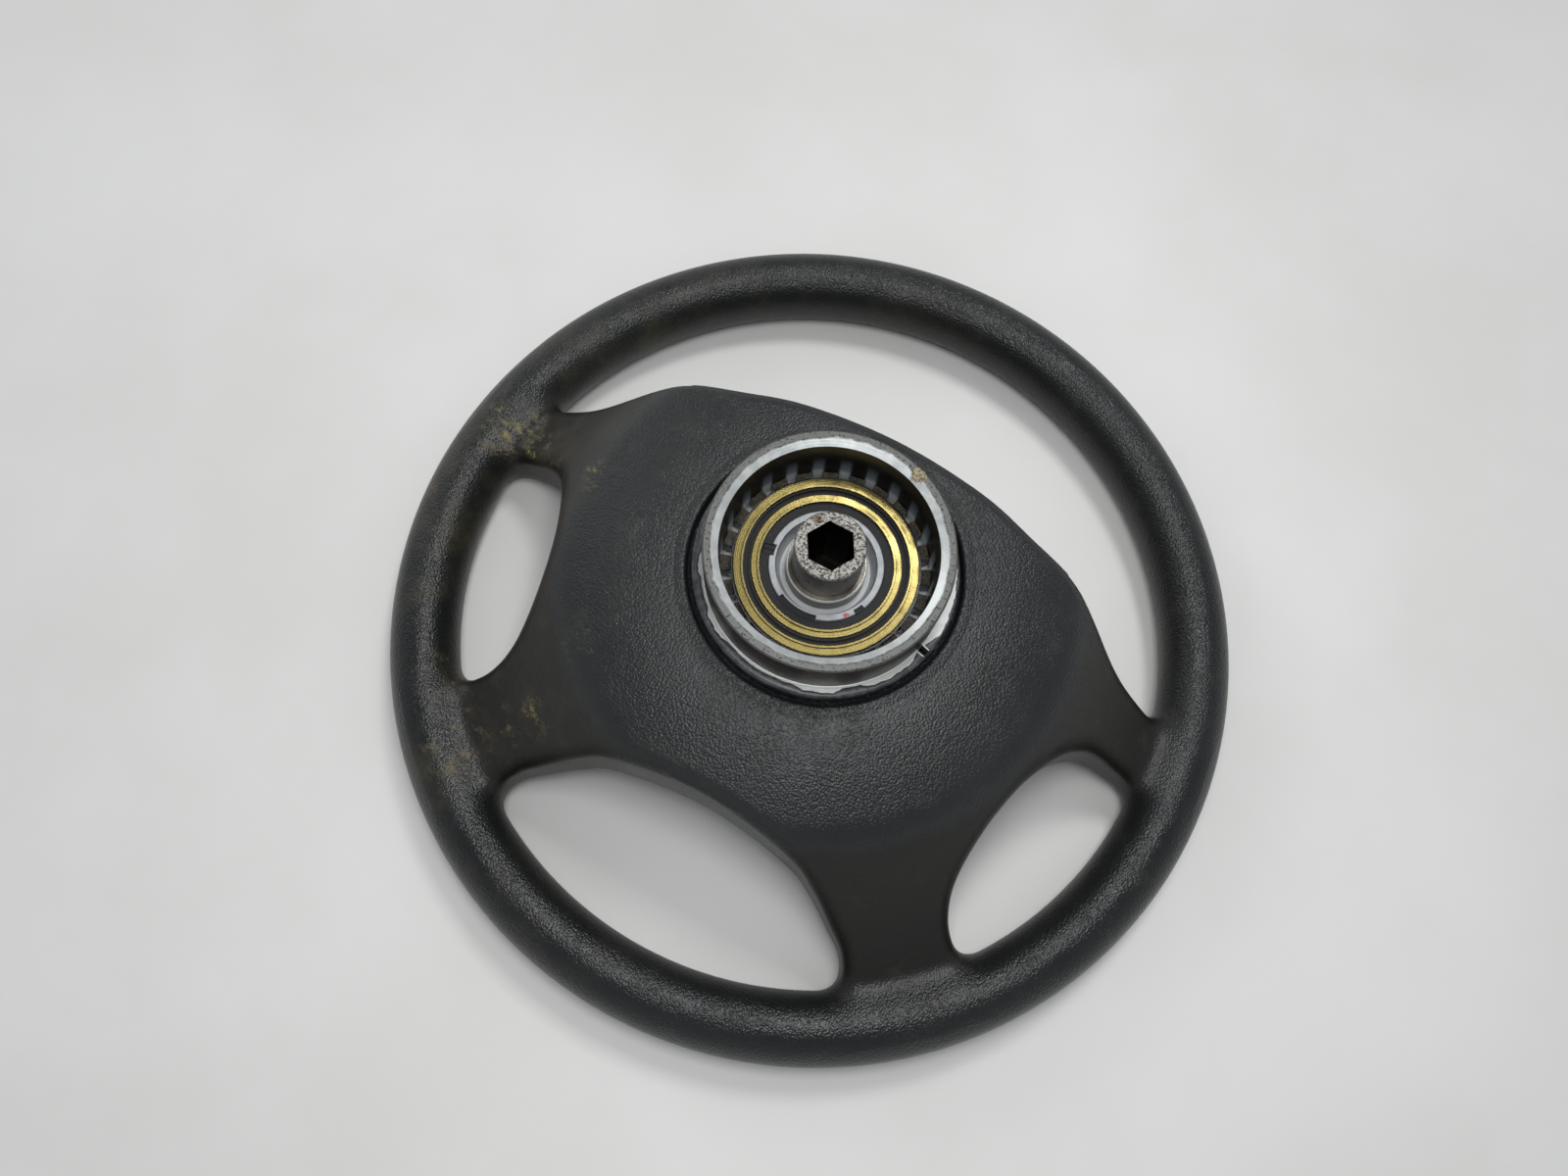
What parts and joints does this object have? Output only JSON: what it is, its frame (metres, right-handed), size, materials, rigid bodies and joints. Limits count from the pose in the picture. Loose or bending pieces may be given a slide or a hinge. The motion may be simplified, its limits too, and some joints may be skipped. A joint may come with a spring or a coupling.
{
  "type": "steering wheel",
  "caption": "Dished four-spoke steering wheel with foam-skinned rim, alloy hub collar, brass slip rings, hexagon boss and sprung horn pad.",
  "frame": {"origin": "on the wheel's axis, in the plane that touches the driver's side of the rim", "axes": "+Z along the axis from the driver towards the steering column, +Y to twelve o'clock, +X to the right as seen from the column side"},
  "size_m": [0.45, 0.45, 0.1455],
  "materials": {
    "grip_foam": "moulded leather grain, semi-matt",
    "core_steel": "mill finish",
    "plate_steel": "black primer",
    "cast_alloy": "cast, machined bevel, worn",
    "zinc_steel": "zinc plated",
    "boss_steel": "turned, pitted end face",
    "carrier_plastic": "glossy glass-filled nylon",
    "ring_brass": "turned, oil film",
    "insulator_plastic": "natural phenolic",
    "lead_pvc_red": "smooth PVC",
    "lead_pvc_brown": "smooth PVC",
    "pad_skin": "fine moulded grain",
    "spring_steel": "bright spring wire"
  },
  "bodies": {
    "wheel": {"foam_grip": "grip_foam", "rim_core": "core_steel", "hub_plate": "plate_steel", "hub_casting": "cast_alloy", "hub_bolts": "zinc_steel", "hex_boss": "boss_steel", "slip_ring_carrier": "carrier_plastic", "carrier_latch": "carrier_plastic", "outer_slip_ring": "ring_brass", "inner_slip_ring": "ring_brass", "outer_ring_terminal": "ring_brass", "inner_ring_terminal": "ring_brass", "contact_insulator": "insulator_plastic", "insulator_screws": "zinc_steel", "fixed_contact": "ring_brass", "return_tag": "ring_brass", "tag_screw": "zinc_steel", "horn_lead_live": "lead_pvc_red", "horn_lead_return": "lead_pvc_brown", "guide_screws": "zinc_steel", "spoke_arm_upper_right": "plate_steel", "spoke_arm_upper_left": "plate_steel", "spoke_arm_lower_right": "plate_steel", "spoke_arm_lower_left": "plate_steel"},
    "horn_pad": {"pad_cover": "pad_skin", "pad_plate": "plate_steel", "pad_screws": "zinc_steel", "moving_contact": "ring_brass", "pad_springs": "spring_steel"}
  },
  "joints": [
    {"name": "horn_press", "type": "slide", "parent": "wheel", "child": "horn_pad", "axis": [0, 0, 1], "range_m": [0, 0.002], "stiffness_N_per_m": 4000, "springref_m": -0.004, "deforming": ["pad_springs"]}
  ]
}
